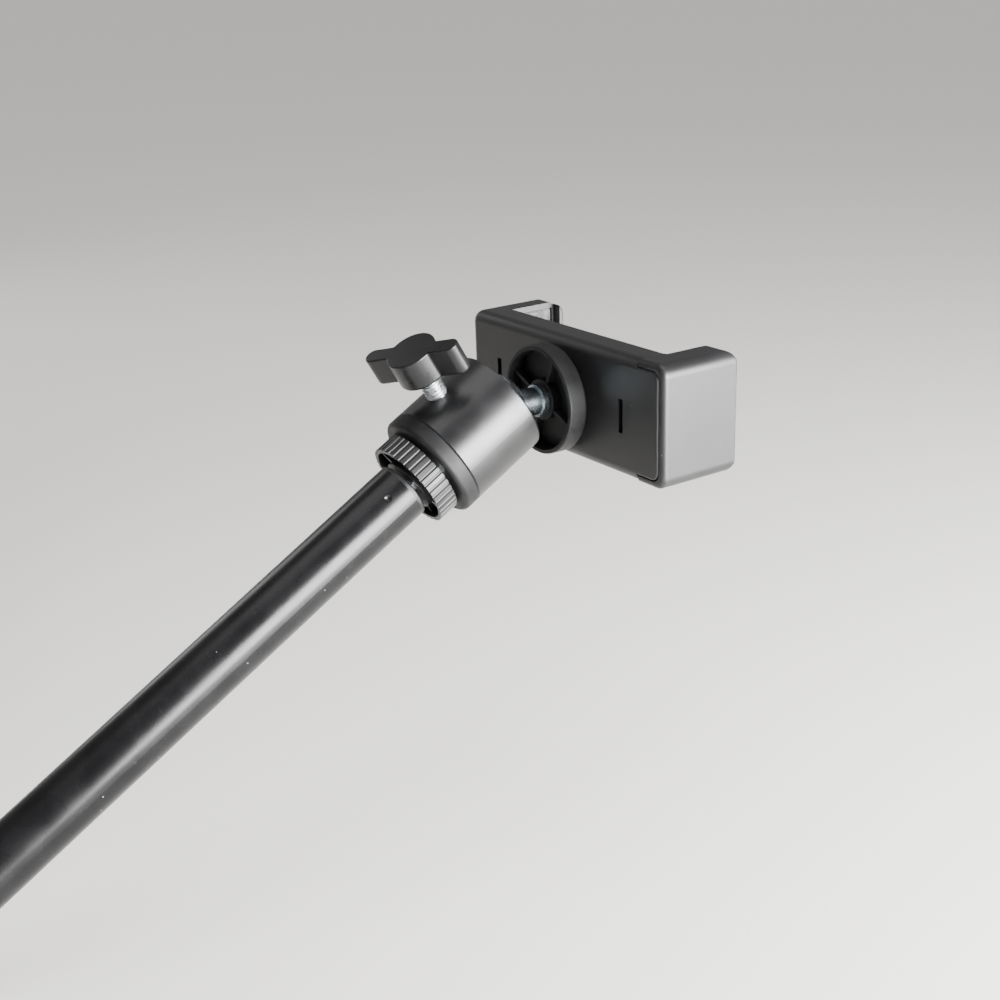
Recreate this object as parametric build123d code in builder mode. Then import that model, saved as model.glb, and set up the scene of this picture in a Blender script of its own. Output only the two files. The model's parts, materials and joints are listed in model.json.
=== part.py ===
"""Phone clamp on a locking ball head, at the top of a 16 mm tube arm.

The part's frame: the origin is the centre of the threaded socket's mouth at the arm's lower end.
+X runs along the clamp towards its sliding jaw, +Y forwards to the phone's side, +Z up.
The arm rises forwards in the YZ plane, and the clamp is level. Millimetres throughout.
"""
import math
import os

from build123d import *

# ---- Arm -----------------------------------------------------------------------------------
ARM_RISE = 30.0            # degrees above the horizontal
TUBE_R = 8.0
TUBE_WALL = 1.0
TUBE_LENGTH = 180.0
FOOT_FLANGE = 2.0          # the lower plug's flange, below the tube
FOOT_SPIGOT = 16.0
PLUG_FLANGE = 1.3          # the upper plug's flange, above the tube
PLUG_SPIGOT = 20.0
DIMPLE_DROP = 5.9          # the staking dimple, below the tube's upper end
DIMPLE_R = 1.4
DIMPLE_DEPTH = 0.5
DIMPLE_AZIMUTH = -40.0
STUD_R = 3.175             # 1/4 inch 20 thread, at its outside diameter
SOCKET_R = 3.2
SOCKET_DEPTH = 12.0
INSERT_R = 4.5

# ---- Lock ring -----------------------------------------------------------------------------
RING_R = 12.65
RING_HEIGHT = 5.9
RING_WALL = 1.25
RING_PLATE = 1.5
RING_HUB_R = 7.6
RING_RIBS = 8
FLUTES = 40
FLUTE_R = 0.5
NUT_ACROSS = 11.1
NUT_HEIGHT = 3.6
WASHER_R = 9.0

# ---- Ball head, by distance along the arm from the ball's centre -----------------------------
BALL_TO_TUBE = 33.0
RIM_AT = 5.0
SEAM_AT = -18.9
SEAM = 0.3                 # the chamfers that meet at the seam
CAP_ROUND = 1.3
CAP_BOTTOM = -23.6
RING_TOP = -24.45
HEAD_R = 15.5
BALL_R = 10.9
CAVITY_R = 11.15
MOUTH_CHAMFER = 0.8
CAP_BORE_R = 13.0
CAP_SPIGOT = 3.4
BASE_NUT_R = 5.5
BASE_NUT_TOP = -13.0
SEAT_R = 10.95
SEAT_CUP_R = 11.0

# ---- Lock knob, by distance from the head's axis ----------------------------------------------
KNOB_AZIMUTH = -89.0       # degrees about the arm, from +X
KNOB_AT = -9.6
SCREW_R = 3.0              # M6
SCREW_TIP = 9.6
SCREW_PAD_TIP = 7.4
KNOB_BASE = 22.2
KNOB_HEIGHT = 8.5
KNOB_BORE = 6.0
HUB_BOSS_R = 7.0
WING_SPAN = 29.2
WING_WIDTH = 4.9
WING_TURN = 118.0          # degrees from the arm's direction
WING_ROOT = 0.6            # the fillets between the hub and the wings

# ---- Ball stem and platform disc, by distance in front of the ball's centre -------------------
STEM_R = 4.0
COLLAR_R = 4.6
DISC_R = 15.4
DISC_RIM_AT = 17.1
DISC_BACK_AT = 22.7
DISC_WALL = 1.2
DISC_FLOOR = 1.5
HUB_R = 5.8
RIB_WIDTH = 1.0
RIB_TURN = 24.0
PAD_R = 12.5
PAD_THICK = 0.9
BACK_AT = 25.2             # the clamp's back face

# ---- Clamp: x from its middle, y forwards from its back face, z from mid height ----------------
CLAMP_LENGTH = 88.4
CLAMP_HEIGHT = 34.2
BODY_DEPTH = 9.1
JAW_DEPTH = 26.0
FIXED_JAW = 9.0
MOVING_JAW = 9.5
WALL = 2.0
LIP_REACH = 10.5           # how far the moving jaw's band laps the body
LIP_THICK = 1.9
GAP = 0.3
HOOK_LIP = 3.0             # the lip at the fixed jaw's tip
MOVING_LIP = 0.8           # the lip at the moving jaw's tip
HOOK_THICK = 1.5
PAD_POCKET = 1.4
JAW_PAD = 1.2
SLOT_MIDDLE = -1.5         # between the two latch windows in the back
SLOT_X = 28.2
SLOT_WIDTH = 1.9
SLOT_HEIGHT = 9.6
CAVITY_HALF = 12.3
CAVITY_FRONT = 7.3
RAIL_LOW = 7.4
RAIL_HIGH = 11.9
RAIL_BACK = 3.0
RAIL_FRONT = 6.2
RAIL_END = -10.0           # the rails' inner ends, where the springs hook on
POST_X = -33.0
SPRING_R = 2.3
SPRING_WIRE = 0.5
CLAMP_NUT_R = 5.5
CLAMP_NUT_HEIGHT = 5.6
CORNER = 3.5
BACK_ROUND = 3.0
TIP_ROUND = 0.6
BAND_ROUND = 1.5           # the back edge of the moving jaw's band

# ---- Worked out ------------------------------------------------------------------------------
COS, SIN = math.cos(math.radians(ARM_RISE)), math.sin(math.radians(ARM_RISE))
ARM_DIR = Vector(0, COS, SIN)
TUBE_TOP = FOOT_FLANGE + TUBE_LENGTH
BALL_AT = TUBE_TOP + BALL_TO_TUBE
BALL = ARM_DIR * BALL_AT
ARM = Plane(origin=(0, 0, 0), x_dir=(1, 0, 0), z_dir=ARM_DIR)
HEAD = ARM.offset(BALL_AT)
PROFILE = Plane(origin=BALL, x_dir=(1, 0, 0), z_dir=(0, -SIN, COS))
HEAD_AXIS = Axis(BALL, ARM_DIR)
BACK_Y = BALL.Y + BACK_AT
HALF_L = CLAMP_LENGTH / 2
HALF_H = CLAMP_HEIGHT / 2
CLAMP_PLAN = Plane(origin=(0, BACK_Y, BALL.Z), x_dir=(1, 0, 0), z_dir=(0, 0, 1))
FIXED_FACE = -HALF_L + FIXED_JAW
MOVING_FACE = HALF_L - MOVING_JAW
LIP_START = HALF_L - LIP_REACH
BODY_END = HALF_L - WALL - GAP


def radial(azimuth, along):
    """The plane square to a radius of the head, through its axis; its z points outwards."""
    turn = math.radians(azimuth)
    out = Vector(math.cos(turn), math.sin(turn) * SIN, -math.sin(turn) * COS)
    return Plane(origin=ARM_DIR * along, x_dir=ARM_DIR, z_dir=out)


def front(y):
    """The plane across the clamp, y in front of its back face; extrusions from it go back."""
    return Plane(origin=(0, BACK_Y + y, BALL.Z), x_dir=(1, 0, 0), z_dir=(0, -1, 0))


def ahead(y):
    """The same plane, y in front of the ball's centre."""
    return front(y - BACK_AT)


def keep(piece, name):
    """Label a finished piece and write its STEP file."""
    piece.part.label = name
    export_step(piece.part, f"parts/{name}.step")


os.makedirs("parts", exist_ok=True)

# ================================ Arm =========================================================
with BuildPart() as arm_tube:
    with BuildSketch(ARM.offset(FOOT_FLANGE)):
        Circle(TUBE_R)
        Circle(TUBE_R - TUBE_WALL, mode=Mode.SUBTRACT)
    extrude(amount=TUBE_LENGTH)
    with Locations(radial(DIMPLE_AZIMUTH, TUBE_TOP - DIMPLE_DROP).offset(TUBE_R + DIMPLE_R - DIMPLE_DEPTH)):
        Sphere(DIMPLE_R, mode=Mode.SUBTRACT)
keep(arm_tube, "arm_tube")

with BuildPart() as top_plug:
    with BuildSketch(ARM.offset(TUBE_TOP)):
        Circle(TUBE_R)
    extrude(amount=PLUG_FLANGE)
    chamfer(top_plug.faces().sort_by(HEAD_AXIS)[-1].edges(), 0.4)
    with BuildSketch(ARM.offset(TUBE_TOP - PLUG_SPIGOT)):
        Circle(TUBE_R - TUBE_WALL - 0.05)
    extrude(amount=PLUG_SPIGOT)
    with BuildSketch(ARM.offset(TUBE_TOP - PLUG_SPIGOT + 5)):
        Circle(STUD_R)
    extrude(amount=PLUG_SPIGOT, mode=Mode.SUBTRACT)
keep(top_plug, "top_plug")

with BuildPart() as top_stud:
    with BuildSketch(ARM.offset(TUBE_TOP - PLUG_SPIGOT + 5)):
        Circle(STUD_R)
    extrude(amount=BALL_AT + BASE_NUT_TOP - 1 - (TUBE_TOP - PLUG_SPIGOT + 5))
    chamfer(top_stud.edges().filter_by(GeomType.CIRCLE), 0.5)
keep(top_stud, "top_stud")

with BuildPart() as foot_plug:
    with BuildSketch(ARM):
        Circle(TUBE_R)
    extrude(amount=FOOT_FLANGE)
    chamfer(foot_plug.faces().sort_by(HEAD_AXIS)[0].edges(), 0.6)
    with BuildSketch(ARM.offset(FOOT_FLANGE)):
        Circle(TUBE_R - TUBE_WALL - 0.05)
    extrude(amount=FOOT_SPIGOT)
    with BuildSketch(ARM):
        Circle(INSERT_R)
    extrude(amount=SOCKET_DEPTH, mode=Mode.SUBTRACT)
keep(foot_plug, "foot_plug")

with BuildPart() as foot_insert:
    with BuildSketch(ARM):
        Circle(INSERT_R)
        Circle(SOCKET_R, mode=Mode.SUBTRACT)
    extrude(amount=SOCKET_DEPTH)
keep(foot_insert, "foot_insert")

# ================================ Lock ring ===================================================
RING_BOTTOM = RING_TOP - RING_HEIGHT
PLATE_UNDER = RING_TOP - RING_PLATE
with BuildPart() as lock_ring:
    with BuildSketch(HEAD.offset(RING_BOTTOM)):
        Circle(RING_R)
        with PolarLocations(RING_R + FLUTE_R * 0.2, FLUTES):
            Circle(FLUTE_R, mode=Mode.SUBTRACT)
    extrude(amount=RING_HEIGHT)
    with BuildSketch(HEAD.offset(RING_BOTTOM)):
        Circle(RING_R - RING_WALL)
    extrude(amount=RING_HEIGHT - RING_PLATE, mode=Mode.SUBTRACT)
    with BuildSketch(HEAD.offset(RING_BOTTOM + 1.4)):
        with PolarLocations((RING_HUB_R + RING_R - RING_WALL) / 2, RING_RIBS):
            Rectangle(RING_R - RING_WALL - RING_HUB_R + 0.6, 1.1)
    extrude(amount=RING_HEIGHT - RING_PLATE - 1.4 + 0.2)
    with BuildSketch(HEAD.offset(RING_BOTTOM)):
        Circle(RING_HUB_R)
    extrude(amount=RING_HEIGHT - RING_PLATE + 0.2)
    with BuildSketch(HEAD.offset(RING_BOTTOM)):
        RegularPolygon(NUT_ACROSS / 2, 6, major_radius=False)
    extrude(amount=NUT_HEIGHT, mode=Mode.SUBTRACT)
    with BuildSketch(HEAD.offset(RING_BOTTOM)):
        Circle(STUD_R + 0.15)
    extrude(amount=RING_HEIGHT, mode=Mode.SUBTRACT)
keep(lock_ring, "lock_ring")

with BuildPart() as lock_ring_nut:
    with BuildSketch(HEAD.offset(RING_BOTTOM)):
        RegularPolygon(NUT_ACROSS / 2, 6, major_radius=False)
        Circle(STUD_R + 0.06, mode=Mode.SUBTRACT)
    extrude(amount=NUT_HEIGHT)
keep(lock_ring_nut, "lock_ring_nut")

with BuildPart() as lock_washer:
    with BuildSketch(HEAD.offset(RING_TOP + 0.05)):
        Circle(WASHER_R)
        Circle(STUD_R + 0.1, mode=Mode.SUBTRACT)
    extrude(amount=CAP_BOTTOM - RING_TOP - 0.1)
keep(lock_washer, "lock_washer")

# ================================ Head ========================================================
with BuildPart() as base_cap:
    with BuildSketch(HEAD.offset(CAP_BOTTOM)):
        Circle(HEAD_R)
    extrude(amount=SEAM_AT - CAP_BOTTOM)
    chamfer(base_cap.faces().sort_by(HEAD_AXIS)[-1].edges(), SEAM)
    fillet(base_cap.faces().sort_by(HEAD_AXIS)[0].edges(), CAP_ROUND)
    with BuildSketch(HEAD.offset(SEAM_AT)):
        Circle(CAP_BORE_R - 0.05)
    extrude(amount=CAP_SPIGOT)
    with BuildSketch(HEAD.offset(CAP_BOTTOM + 2.2)):
        Circle(CAP_BORE_R - 1.8)
        Circle(BASE_NUT_R + 1.9, mode=Mode.SUBTRACT)
    extrude(amount=SEAM_AT + CAP_SPIGOT - CAP_BOTTOM, mode=Mode.SUBTRACT)
    with BuildSketch(HEAD.offset(CAP_BOTTOM)):
        Circle(BASE_NUT_R)
    extrude(amount=SEAM_AT + CAP_SPIGOT - CAP_BOTTOM, mode=Mode.SUBTRACT)
keep(base_cap, "base_cap")

with BuildPart() as base_insert:
    with BuildSketch(HEAD.offset(CAP_BOTTOM)):
        Circle(BASE_NUT_R)
        Circle(STUD_R + 0.06, mode=Mode.SUBTRACT)
    extrude(amount=BASE_NUT_TOP - 2 - CAP_BOTTOM)
keep(base_insert, "base_insert")

MOUTH_AT = RIM_AT - MOUTH_CHAMFER
MOUTH_R = math.sqrt(CAVITY_R**2 - MOUTH_AT**2)
BORE_STEP = SEAM_AT + CAP_SPIGOT + 0.1
with BuildPart() as housing:
    with BuildSketch(PROFILE):
        with BuildLine():
            Polyline((MOUTH_R, MOUTH_AT), (MOUTH_R + MOUTH_CHAMFER, RIM_AT), (HEAD_R, RIM_AT),
                     (HEAD_R, SEAM_AT + SEAM), (HEAD_R - SEAM, SEAM_AT), (CAP_BORE_R, SEAM_AT), (CAP_BORE_R, BORE_STEP),
                     (CAVITY_R, BORE_STEP), (CAVITY_R, 0))
            CenterArc((0, 0), CAVITY_R, 0, math.degrees(math.asin(MOUTH_AT / CAVITY_R)))
        make_face()
    revolve(axis=HEAD_AXIS)
    fillet(housing.edges().filter_by(GeomType.CIRCLE).filter_by(
        lambda e: abs(e.radius - HEAD_R) < 0.01).sort_by(HEAD_AXIS)[-1], 0.7)
    with BuildSketch(radial(KNOB_AZIMUTH, BALL_AT + KNOB_AT).offset(CAVITY_R - 3)):
        Circle(SCREW_R + 0.05)
    extrude(amount=8, mode=Mode.SUBTRACT)
keep(housing, "housing")

# The seat is a cup under the ball; the lock screw's cone wedges it up against the ball.
SEAT_FOOT = -6.3
SEAT_INNER = 7.6
SEAT_TOE = -8.1
SEAT_CONE_TOP = 9.6
with BuildPart() as ball_seat:
    with BuildSketch(PROFILE):
        with BuildLine():
            cup_low = -math.sqrt(SEAT_CUP_R**2 - SEAT_INNER**2)
            cup_high = -math.sqrt(SEAT_CUP_R**2 - (SEAT_R - 0.6)**2)
            Polyline((SEAT_INNER, cup_low), (SEAT_INNER, SEAT_TOE), (SEAT_CONE_TOP, SEAT_FOOT),
                     (SEAT_R, SEAT_FOOT), (SEAT_R, cup_high), (SEAT_R - 0.6, cup_high))
            start = math.degrees(math.atan2(cup_low, SEAT_INNER))
            CenterArc((0, 0), SEAT_CUP_R, start,
                      math.degrees(math.atan2(cup_high, SEAT_R - 0.6)) - start)
        make_face()
    revolve(axis=HEAD_AXIS)
keep(ball_seat, "ball_seat")

# ================================ Lock knob ===================================================
KNOB = radial(KNOB_AZIMUTH, BALL_AT + KNOB_AT)
with BuildPart() as lock_pad:
    with BuildSketch(KNOB.offset(SCREW_TIP)):
        Circle(SCREW_R - 0.1)
    with BuildSketch(KNOB.offset(SCREW_PAD_TIP)):
        Circle(0.9)
    loft()
keep(lock_pad, "lock_pad")

with BuildPart() as lock_screw:
    with BuildSketch(KNOB.offset(SCREW_TIP)):
        Circle(SCREW_R)
    extrude(amount=KNOB_BASE + KNOB_BORE - SCREW_TIP)
keep(lock_screw, "lock_screw")

with BuildPart() as lock_knob:
    with BuildSketch(KNOB.offset(KNOB_BASE)) as wings:
        Circle(HUB_BOSS_R)
        SlotOverall(WING_SPAN, WING_WIDTH, rotation=WING_TURN)
        fillet(wings.vertices().filter_by(
            lambda v: abs(math.hypot(v.X, v.Y) - HUB_BOSS_R) < 0.01), WING_ROOT)
    extrude(amount=KNOB_HEIGHT)
    fillet(lock_knob.faces().sort_by(Axis(KNOB.origin, KNOB.z_dir))[0].edges(), 0.9)
    fillet(lock_knob.faces().sort_by(Axis(KNOB.origin, KNOB.z_dir))[-1].edges(), 0.4)
    with BuildSketch(KNOB.offset(KNOB_BASE)):
        Circle(SCREW_R)
    extrude(amount=KNOB_BORE, mode=Mode.SUBTRACT)
keep(lock_knob, "lock_knob")

# ================================ Ball and platform ===========================================
STEM_END = 20.3
with BuildPart() as ball_stud:
    with Locations(BALL):
        Sphere(BALL_R)
    with BuildSketch(ahead(STEM_END)):
        Circle(STEM_R)
    extrude(amount=STEM_END - 2)
    with BuildSketch(ahead(DISC_RIM_AT + 0.9)):
        Circle(COLLAR_R)
    extrude(amount=1.6)
keep(ball_stud, "ball_stud")

DISC_CUP = DISC_BACK_AT - DISC_FLOOR
with BuildPart() as platform_disc:
    with BuildSketch(ahead(DISC_BACK_AT)):
        Circle(DISC_R)
    extrude(amount=DISC_BACK_AT - DISC_RIM_AT)
    fillet(platform_disc.edges(), 0.5)
    with BuildSketch(ahead(DISC_CUP)):
        Circle(DISC_R - DISC_WALL)
    extrude(amount=DISC_CUP, mode=Mode.SUBTRACT)
    with BuildSketch(ahead(DISC_CUP + 0.2)):
        with PolarLocations((DISC_R - DISC_WALL + HUB_R) / 2, 4, start_angle=90 - RIB_TURN):
            Rectangle(DISC_R - DISC_WALL - HUB_R + 0.8, RIB_WIDTH)
    extrude(amount=DISC_CUP + 0.2 - DISC_RIM_AT - 1.6)
    with BuildSketch(ahead(DISC_CUP + 0.2)):
        Circle(HUB_R)
    extrude(amount=DISC_CUP + 0.2 - DISC_RIM_AT - 1.3)
    with BuildSketch(ahead(STEM_END + 0.1)):
        Circle(STEM_R + 0.06)
    extrude(amount=5, mode=Mode.SUBTRACT)
    with BuildSketch(ahead(DISC_BACK_AT)):
        Circle(STUD_R)
    extrude(amount=DISC_BACK_AT - STEM_END, mode=Mode.SUBTRACT)
keep(platform_disc, "platform_disc")

CLAMP_SCREW_END = BACK_AT + CLAMP_NUT_HEIGHT - 0.4
with BuildPart() as clamp_screw:
    with BuildSketch(ahead(CLAMP_SCREW_END)):
        Circle(STUD_R)
    extrude(amount=CLAMP_SCREW_END - STEM_END - 0.15)
keep(clamp_screw, "clamp_screw")

with BuildPart() as platform_pad:
    with BuildSketch(ahead(DISC_BACK_AT + PAD_THICK)):
        Circle(PAD_R)
        Circle(STUD_R, mode=Mode.SUBTRACT)
    extrude(amount=PAD_THICK)
keep(platform_pad, "platform_pad")

# ================================ Clamp body ==================================================
with BuildPart() as rear_shell:
    with BuildSketch(CLAMP_PLAN.offset(-HALF_H)):
        with BuildLine():
            Polyline((-HALF_L, 0), (HALF_L, 0), (HALF_L, BODY_DEPTH), (FIXED_FACE, BODY_DEPTH),
                     (FIXED_FACE, JAW_DEPTH - HOOK_THICK), (FIXED_FACE + HOOK_LIP, JAW_DEPTH - HOOK_THICK),
                     (FIXED_FACE + HOOK_LIP, JAW_DEPTH), (-HALF_L, JAW_DEPTH),
                     close=True)
        make_face()
    extrude(amount=CLAMP_HEIGHT)
    # Rounded corners, seen from behind and from the side.
    with BuildSketch(front(JAW_DEPTH)):
        Rectangle(CLAMP_LENGTH + 20, CLAMP_HEIGHT + 20)
        with Locations((10, 0)):
            RectangleRounded(CLAMP_LENGTH + 20, CLAMP_HEIGHT, CORNER, mode=Mode.SUBTRACT)
    extrude(amount=JAW_DEPTH, mode=Mode.SUBTRACT)
    with BuildSketch(Plane.YZ.offset(-HALF_L - 1)):
        with Locations((BACK_Y + JAW_DEPTH / 2, BALL.Z)):
            Rectangle(JAW_DEPTH + 10, CLAMP_HEIGHT + 10)
            with Locations((-10, 0)):
                RectangleRounded(JAW_DEPTH + 20, CLAMP_HEIGHT, CORNER, mode=Mode.SUBTRACT)
    extrude(amount=FIXED_JAW + HOOK_LIP + 2, mode=Mode.SUBTRACT)
    fillet(rear_shell.faces().sort_by(Axis.Y)[0].edges().sort_by(Axis.X)[:-1], BACK_ROUND)
    fillet(rear_shell.faces().sort_by(Axis.Y)[-1].edges(), TIP_ROUND)
    # The stepped end, which the moving jaw laps.
    with BuildSketch(front(BODY_DEPTH)):
        with Locations(((LIP_START - GAP + HALF_L) / 2 + 5, 0)):
            Rectangle(HALF_L - LIP_START + GAP + 10, CLAMP_HEIGHT + 2)
        with Locations((BODY_END - 30, 0)):
            RectangleRounded(60, CLAMP_HEIGHT - 2 * LIP_THICK - 2 * GAP, CORNER - 1, mode=Mode.SUBTRACT)
    extrude(amount=BODY_DEPTH, mode=Mode.SUBTRACT)
    fillet(rear_shell.faces().sort_by(Axis.Y)[0].edges().filter_by(
        lambda e: e.center().X > BODY_END - 1.5), 0.6)
    # The cavity, open to the front, and the rails' two openings in the end wall.
    with BuildSketch(front(BODY_DEPTH)):
        with Locations(((FIXED_FACE + WALL / 2 + BODY_END - WALL) / 2, 0)):
            Rectangle(BODY_END - WALL - FIXED_FACE - WALL / 2, 2 * CAVITY_HALF)
    extrude(amount=BODY_DEPTH - WALL, mode=Mode.SUBTRACT)
    with BuildSketch(front(RAIL_FRONT + GAP)):
        for side in (-1, 1):
            with Locations((BODY_END - WALL / 2, side * (RAIL_LOW + RAIL_HIGH) / 2)):
                Rectangle(WALL + 2, RAIL_HIGH - RAIL_LOW + 2 * GAP)
    extrude(amount=RAIL_FRONT - RAIL_BACK + 2 * GAP, mode=Mode.SUBTRACT)
    # Two slots in the back, the pad's pocket in the jaw, the spring posts and the nut's boss.
    with BuildSketch(front(WALL + 1)):
        with Locations((SLOT_MIDDLE - SLOT_X, 0), (SLOT_MIDDLE + SLOT_X, 0)):
            Rectangle(SLOT_WIDTH, SLOT_HEIGHT)
    extrude(amount=WALL + 2, mode=Mode.SUBTRACT)
    with BuildSketch(Plane.YZ.offset(FIXED_FACE - PAD_POCKET)):
        with Locations((BACK_Y + (BODY_DEPTH + JAW_DEPTH - HOOK_THICK) / 2, BALL.Z)):
            Rectangle(JAW_DEPTH - HOOK_THICK - BODY_DEPTH - 1.6, CLAMP_HEIGHT - 3.4)
    extrude(amount=PAD_POCKET, mode=Mode.SUBTRACT)
    with BuildSketch(front(RAIL_FRONT)):
        with Locations((POST_X, (RAIL_LOW + RAIL_HIGH) / 2), (POST_X, -(RAIL_LOW + RAIL_HIGH) / 2)):
            Circle(1.1)
    extrude(amount=RAIL_FRONT - WALL + 0.2)
    with BuildSketch(front(BODY_DEPTH - 3)):
        Circle(CLAMP_NUT_R + 1.5)
    extrude(amount=BODY_DEPTH - 3 - WALL + 0.2)
    with BuildSketch(ahead(BACK_AT + 0.2)):
        Circle(PAD_R - 2.5)
    extrude(amount=BACK_AT + 0.2 - DISC_BACK_AT - PAD_THICK)
    with BuildSketch(front(CLAMP_NUT_HEIGHT)):
        Circle(CLAMP_NUT_R)
    extrude(amount=CLAMP_NUT_HEIGHT, mode=Mode.SUBTRACT)
    with BuildSketch(front(CLAMP_NUT_HEIGHT)):
        Circle(STUD_R + 0.1)
    extrude(amount=CLAMP_NUT_HEIGHT + 5, mode=Mode.SUBTRACT)
keep(rear_shell, "rear_shell")

with BuildPart() as clamp_nut:
    with BuildSketch(front(CLAMP_NUT_HEIGHT)):
        Circle(CLAMP_NUT_R)
        Circle(STUD_R, mode=Mode.SUBTRACT)
    extrude(amount=CLAMP_NUT_HEIGHT)
keep(clamp_nut, "clamp_nut")

COVER_LEFT = FIXED_FACE + WALL / 2 + 0.1
COVER_RIGHT = BODY_END - WALL - 0.1
HOOK_HEIGHT = 8.0
with BuildPart() as front_cover:
    with BuildSketch(front(BODY_DEPTH)):
        with Locations(((COVER_LEFT + COVER_RIGHT) / 2, 0)):
            Rectangle(COVER_RIGHT - COVER_LEFT, 2 * CAVITY_HALF - 0.2)
    extrude(amount=BODY_DEPTH - CAVITY_FRONT)
    with BuildSketch(front(CAVITY_FRONT + 0.2)):
        with Locations((SLOT_MIDDLE - SLOT_X, 0), (SLOT_MIDDLE + SLOT_X, 0)):
            Rectangle(SLOT_WIDTH, HOOK_HEIGHT)
    extrude(amount=CAVITY_FRONT + 0.2 - WALL - 0.4)
    with BuildSketch(front(BODY_DEPTH)):
        with Locations((SLOT_MIDDLE, 0)):
            RectangleRounded(58, 19, 2)
    extrude(amount=0.8, mode=Mode.SUBTRACT)
keep(front_cover, "front_cover")

with BuildPart() as front_pad:
    with BuildSketch(front(BODY_DEPTH + 0.6)):
        with Locations((SLOT_MIDDLE, 0)):
            RectangleRounded(57.6, 18.6, 1.8)
    extrude(amount=1.4)
keep(front_pad, "front_pad")

PAD_WIDTH = JAW_DEPTH - HOOK_THICK - BODY_DEPTH - 2.0
PAD_HEIGHT = CLAMP_HEIGHT - 3.8
with BuildPart() as fixed_jaw_pad:
    with BuildSketch(Plane.YZ.offset(FIXED_FACE - PAD_POCKET)):
        with Locations((BACK_Y + (BODY_DEPTH + JAW_DEPTH - HOOK_THICK) / 2, BALL.Z)):
            Rectangle(PAD_WIDTH, PAD_HEIGHT)
    extrude(amount=JAW_PAD)
keep(fixed_jaw_pad, "fixed_jaw_pad")

# ================================ Moving jaw ==================================================
JAW_FOOT = BODY_DEPTH + GAP
BAND_BACK = 0.3
JAW_INNER = min(LIP_START, MOVING_FACE - MOVING_LIP)
with BuildPart() as moving_jaw:
    with BuildSketch(CLAMP_PLAN.offset(-HALF_H)):
        with BuildLine():
            Polyline((LIP_START, BAND_BACK), (HALF_L, BAND_BACK),
                     (HALF_L, JAW_DEPTH), (MOVING_FACE - MOVING_LIP, JAW_DEPTH),
                     (MOVING_FACE - MOVING_LIP, JAW_DEPTH - HOOK_THICK),
                     (MOVING_FACE, JAW_DEPTH - HOOK_THICK), (MOVING_FACE, JAW_FOOT), (LIP_START, JAW_FOOT),
                     close=True)
        make_face()
    extrude(amount=CLAMP_HEIGHT)
    with BuildSketch(front(JAW_DEPTH + 1)):
        Rectangle(CLAMP_LENGTH + 30, CLAMP_HEIGHT + 20)
        with Locations((-15, 0)):
            RectangleRounded(CLAMP_LENGTH + 30, CLAMP_HEIGHT, CORNER, mode=Mode.SUBTRACT)
    extrude(amount=JAW_DEPTH + 2, mode=Mode.SUBTRACT)
    with BuildSketch(Plane.YZ.offset(JAW_INNER - 1)):
        with Locations((BACK_Y + JAW_DEPTH / 2, BALL.Z)):
            Rectangle(JAW_DEPTH + 10, CLAMP_HEIGHT + 10)
            with Locations((-10, 0)):
                RectangleRounded(JAW_DEPTH + 20, CLAMP_HEIGHT, CORNER, mode=Mode.SUBTRACT)
    extrude(amount=HALF_L - JAW_INNER + 2, mode=Mode.SUBTRACT)
    fillet(moving_jaw.faces().sort_by(Axis.Y)[-1].edges(), TIP_ROUND)
    fillet(moving_jaw.faces().sort_by(Axis.Y)[0].edges().sort_by(Axis.X)[1:], BAND_ROUND)
    # The band's inside, which slides over the body's stepped end, and the pad's pocket.
    with BuildSketch(front(JAW_FOOT)):
        with Locations((HALF_L - WALL - 30, 0)):
            RectangleRounded(60, CLAMP_HEIGHT - 2 * LIP_THICK, CORNER - 1)
    extrude(amount=JAW_FOOT, mode=Mode.SUBTRACT)
    with BuildSketch(Plane.YZ.offset(MOVING_FACE)):
        with Locations((BACK_Y + (BODY_DEPTH + JAW_DEPTH - HOOK_THICK) / 2, BALL.Z)):
            Rectangle(JAW_DEPTH - HOOK_THICK - BODY_DEPTH - 1.6, CLAMP_HEIGHT - 3.4)
    extrude(amount=PAD_POCKET, mode=Mode.SUBTRACT)
    # Two rails, inside the body.
    with BuildSketch(front(RAIL_FRONT)):
        for side in (-1, 1):
            with Locations(((RAIL_END + HALF_L - WALL + 0.5) / 2, side * (RAIL_LOW + RAIL_HIGH) / 2)):
                Rectangle(HALF_L - WALL + 0.5 - RAIL_END, RAIL_HIGH - RAIL_LOW)
    extrude(amount=RAIL_FRONT - RAIL_BACK)
keep(moving_jaw, "moving_jaw")

with BuildPart() as moving_jaw_pad:
    with BuildSketch(Plane.YZ.offset(MOVING_FACE + PAD_POCKET - JAW_PAD)):
        with Locations((BACK_Y + (BODY_DEPTH + JAW_DEPTH - HOOK_THICK) / 2, BALL.Z)):
            Rectangle(PAD_WIDTH, PAD_HEIGHT)
    extrude(amount=JAW_PAD)
keep(moving_jaw_pad, "moving_jaw_pad")

for name, side in (("upper_spring", 1), ("lower_spring", -1)):
    spring_z = side * (RAIL_LOW + RAIL_HIGH) / 2
    with BuildPart() as jaw_spring:
        with BuildSketch(Plane.YZ.offset(POST_X + 1.4)):
            with Locations((BACK_Y + (RAIL_BACK + RAIL_FRONT) / 2, BALL.Z + spring_z)):
                Circle(SPRING_R)
                Circle(SPRING_R - SPRING_WIRE, mode=Mode.SUBTRACT)
        extrude(amount=RAIL_END - 0.1 - POST_X - 1.4)
    keep(jaw_spring, name)

print("ball centre", [round(v, 3) for v in BALL], "clamp back y", round(BACK_Y, 3))
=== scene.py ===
"""Looks for a phone clamp on a locking ball head and a slanted tube arm.

Everything is in metres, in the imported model's own frame: +X along the clamp towards its sliding
jaw, +Y forwards to the phone's side, +Z up, with the arm rising forwards in the YZ plane.
"""

import json
import logging
import math
from dataclasses import dataclass
from enum import Enum
from typing import Optional, Sequence

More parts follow.
